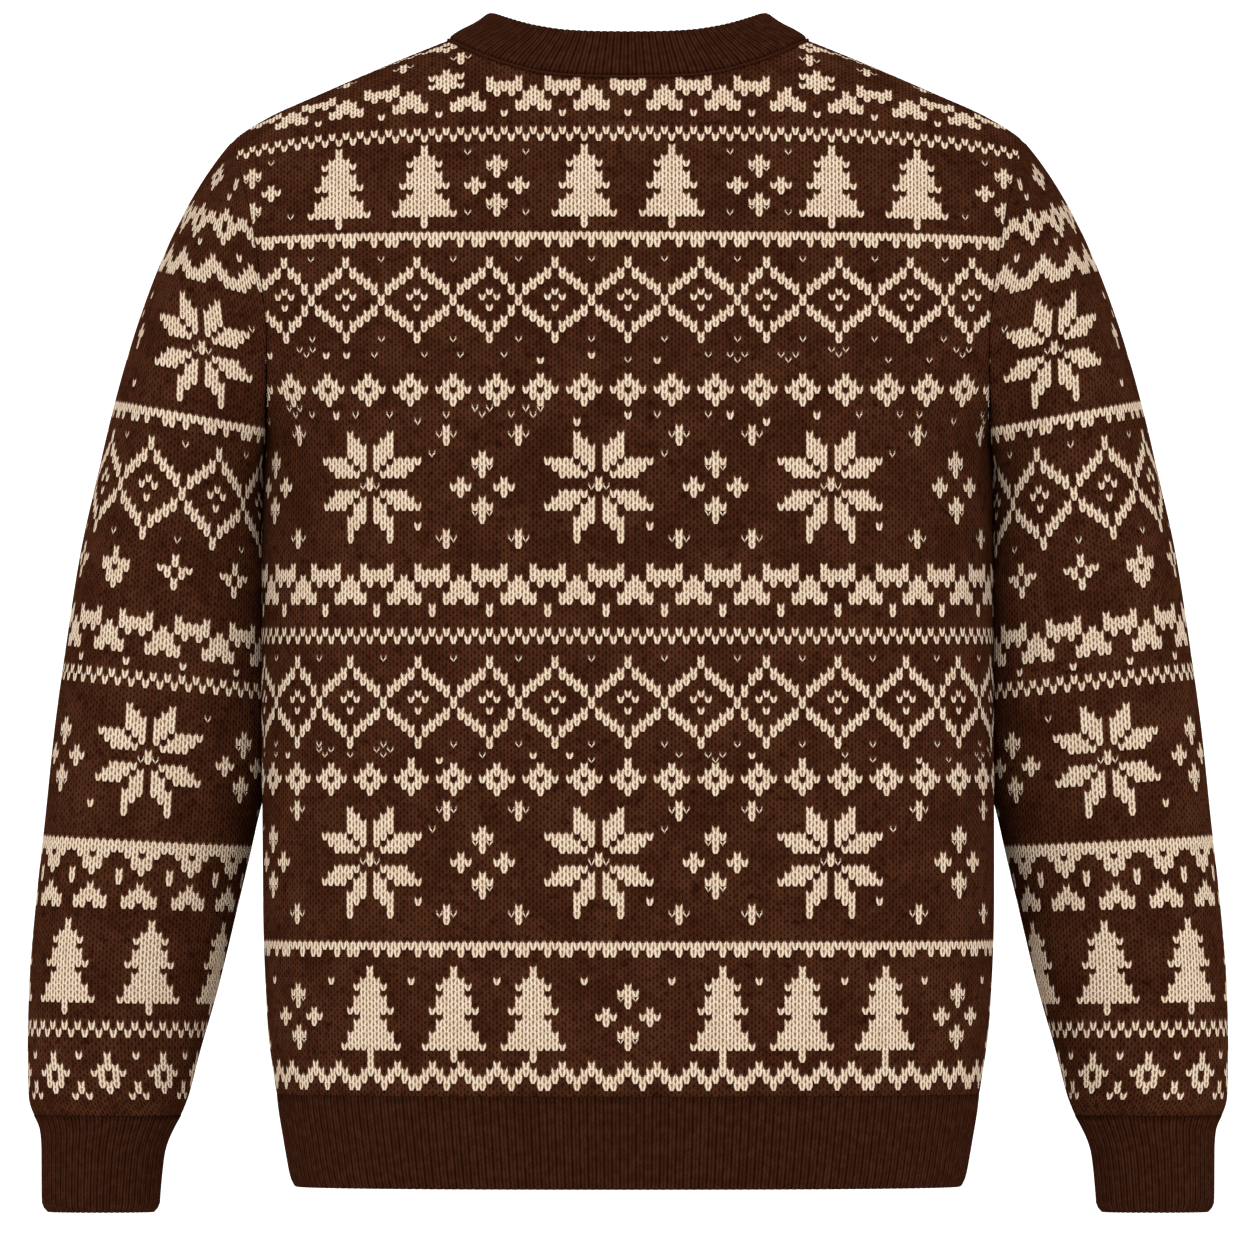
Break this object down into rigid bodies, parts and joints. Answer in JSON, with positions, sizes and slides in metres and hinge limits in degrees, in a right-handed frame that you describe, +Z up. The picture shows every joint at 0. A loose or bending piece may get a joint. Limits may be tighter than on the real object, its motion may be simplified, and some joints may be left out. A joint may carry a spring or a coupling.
{
  "type": "christmas pullover",
  "caption": "Crew-neck knitted pullover, filled out as if worn, with set-in sleeves hanging, rib neckband, hem and cuffs, and cream seasonal bands on dark brown.",
  "frame": {"origin": "middle of the neck opening, level with the tops of the shoulder seams, where the wearer's neck and shoulders hold the garment up", "axes": "+Z up, +X to the wearer's right, +Y to the wearer's front"},
  "size_m": [0.7224, 0.2379, 0.7192],
  "materials": {
    "patterned_knit": "matt two-colour wool knit, dark brown ground with cream motifs",
    "rib_knit": "matt dark brown wool rib"
  },
  "bodies": {
    "root": {"body_back": "patterned_knit", "body_front": "patterned_knit", "sleeve_right": "patterned_knit", "sleeve_left": "patterned_knit", "neckband": "rib_knit", "hem_band": "rib_knit", "cuff_right": "rib_knit", "cuff_left": "rib_knit"}
  },
  "joints": []
}
